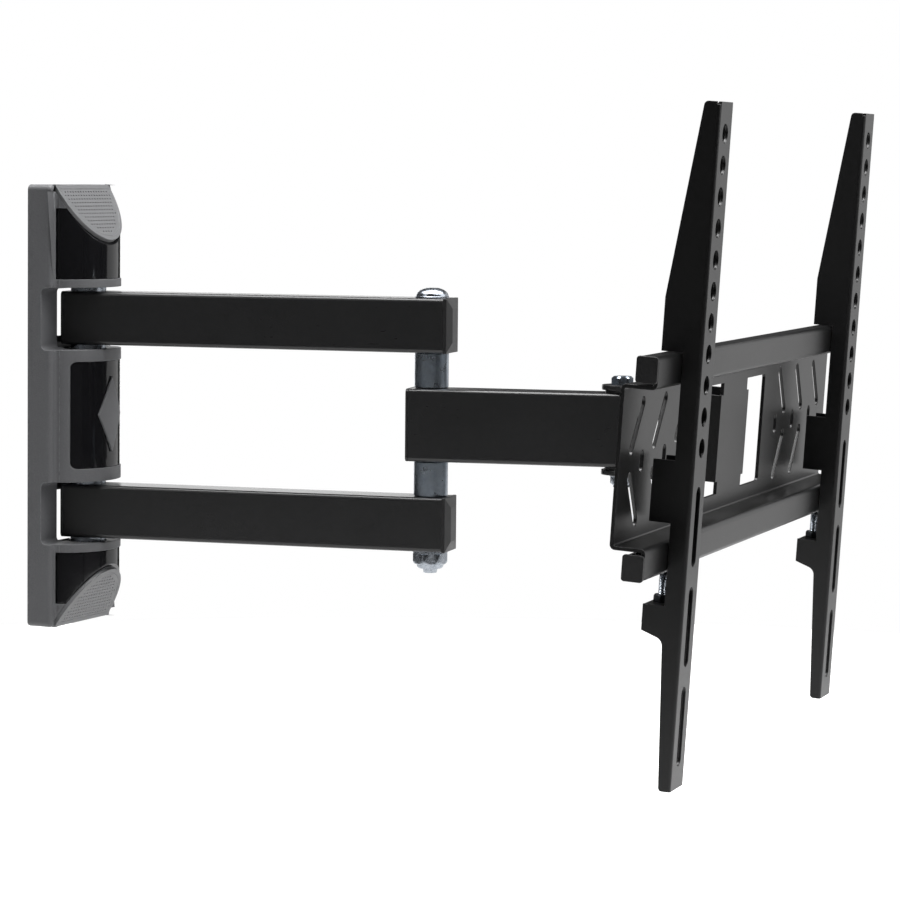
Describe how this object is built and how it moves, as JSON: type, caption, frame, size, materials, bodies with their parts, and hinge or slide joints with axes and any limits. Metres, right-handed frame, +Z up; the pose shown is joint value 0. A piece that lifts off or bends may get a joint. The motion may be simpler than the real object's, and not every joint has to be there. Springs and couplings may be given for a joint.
{
  "type": "full motion tv wall mount",
  "caption": "Full motion wall mount for a flat screen: twin-tube first arm, single second arm, swivel and tilt head, slotted screen plate and sliding brackets.",
  "frame": {"origin": "middle of the wall plate's back face, on the wall", "axes": "-Y straight out from the wall towards the viewer of the screen, +Y into the wall, +Z up"},
  "size_m": [0.537, 0.5683, 0.4396],
  "materials": {
    "black_steel": "satin black powder coat",
    "matte_cover": "fine textured dark grey",
    "gloss_panel": "piano black",
    "zinc": "zinc plated",
    "dark_steel": "dark plated steel",
    "nylon": "black nylon",
    "cap_plastic": "black moulded"
  },
  "bodies": {
    "wall_side": {"wall_plate": "black_steel", "wall_cover": "matte_cover", "top_panel": "gloss_panel", "middle_panel": "gloss_panel", "bottom_panel": "gloss_panel", "top_hood": "matte_cover", "bottom_hood": "matte_cover", "top_grille": "matte_cover", "bottom_grille": "matte_cover", "diamond_pad": "matte_cover", "wall_pivot_bolts": "zinc", "wall_pivot_nuts": "zinc", "wall_pivot_washers": "nylon"},
    "first_arm": {"upper_arm_tube": "black_steel", "lower_arm_tube": "black_steel", "wall_bushes": "nylon", "wall_end_caps": "cap_plastic", "elbow_end_caps": "cap_plastic", "elbow_bolt": "zinc", "elbow_nut": "zinc", "elbow_washer": "zinc", "upper_elbow_spacer": "dark_steel", "lower_elbow_spacer": "dark_steel"},
    "second_arm": {"second_arm_tube": "black_steel", "elbow_sleeve": "zinc", "swivel_sleeve": "zinc", "second_arm_caps": "cap_plastic", "swivel_washers": "nylon"},
    "swivel_head": {"head_bracket": "black_steel", "swivel_bolt": "zinc", "swivel_nut": "zinc", "tilt_washers": "nylon"},
    "screen_plate": {"screen_plate": "black_steel", "rail_end_caps": "cap_plastic", "tilt_bolts": "dark_steel", "tilt_nuts": "zinc"},
    "near_bracket": {"near_bracket": "black_steel", "near_lock_nut": "dark_steel"},
    "far_bracket": {"far_bracket": "black_steel", "far_lock_nut": "dark_steel"},
    "near_lock": {"near_lock_screw": "zinc"},
    "far_lock": {"far_lock_screw": "zinc"}
  },
  "joints": [
    {"name": "wall_swivel", "type": "hinge", "parent": "wall_side", "child": "first_arm", "pos_m": [0, -0.0255, -0.007], "axis": [0, 0, 1], "range_deg": [-88.8, 71.2]},
    {"name": "elbow_swivel", "type": "hinge", "parent": "first_arm", "child": "second_arm", "pos_m": [0.04039, -0.28639, -0.007], "axis": [0, 0, -1], "range_deg": [-107.3, 112.7]},
    {"name": "head_swivel", "type": "hinge", "parent": "second_arm", "child": "swivel_head", "pos_m": [0.068, -0.42211, -0.007], "axis": [0, 0, 1], "range_deg": [-73.3, 86.7]},
    {"name": "plate_tilt", "type": "hinge", "parent": "swivel_head", "child": "screen_plate", "pos_m": [0.07306, -0.4824, -0.007], "axis": [0.9965, 0.0837, 0], "range_deg": [-8.6, 11.4]},
    {"name": "near_bracket_slide", "type": "slide", "parent": "screen_plate", "child": "near_bracket", "axis": [0.9965, 0.0837, 0], "range_m": [-0.04, 0.1]},
    {"name": "far_bracket_slide", "type": "slide", "parent": "screen_plate", "child": "far_bracket", "axis": [0.9965, 0.0837, 0], "range_m": [-0.1, 0.04]},
    {"name": "near_lock_travel", "type": "slide", "parent": "near_bracket", "child": "near_lock", "axis": [0.0053, -0.0626, 0.998], "range_m": [-0.006, 0]},
    {"name": "far_lock_travel", "type": "slide", "parent": "far_bracket", "child": "far_lock", "axis": [0.0053, -0.0626, 0.998], "range_m": [-0.006, 0]}
  ]
}
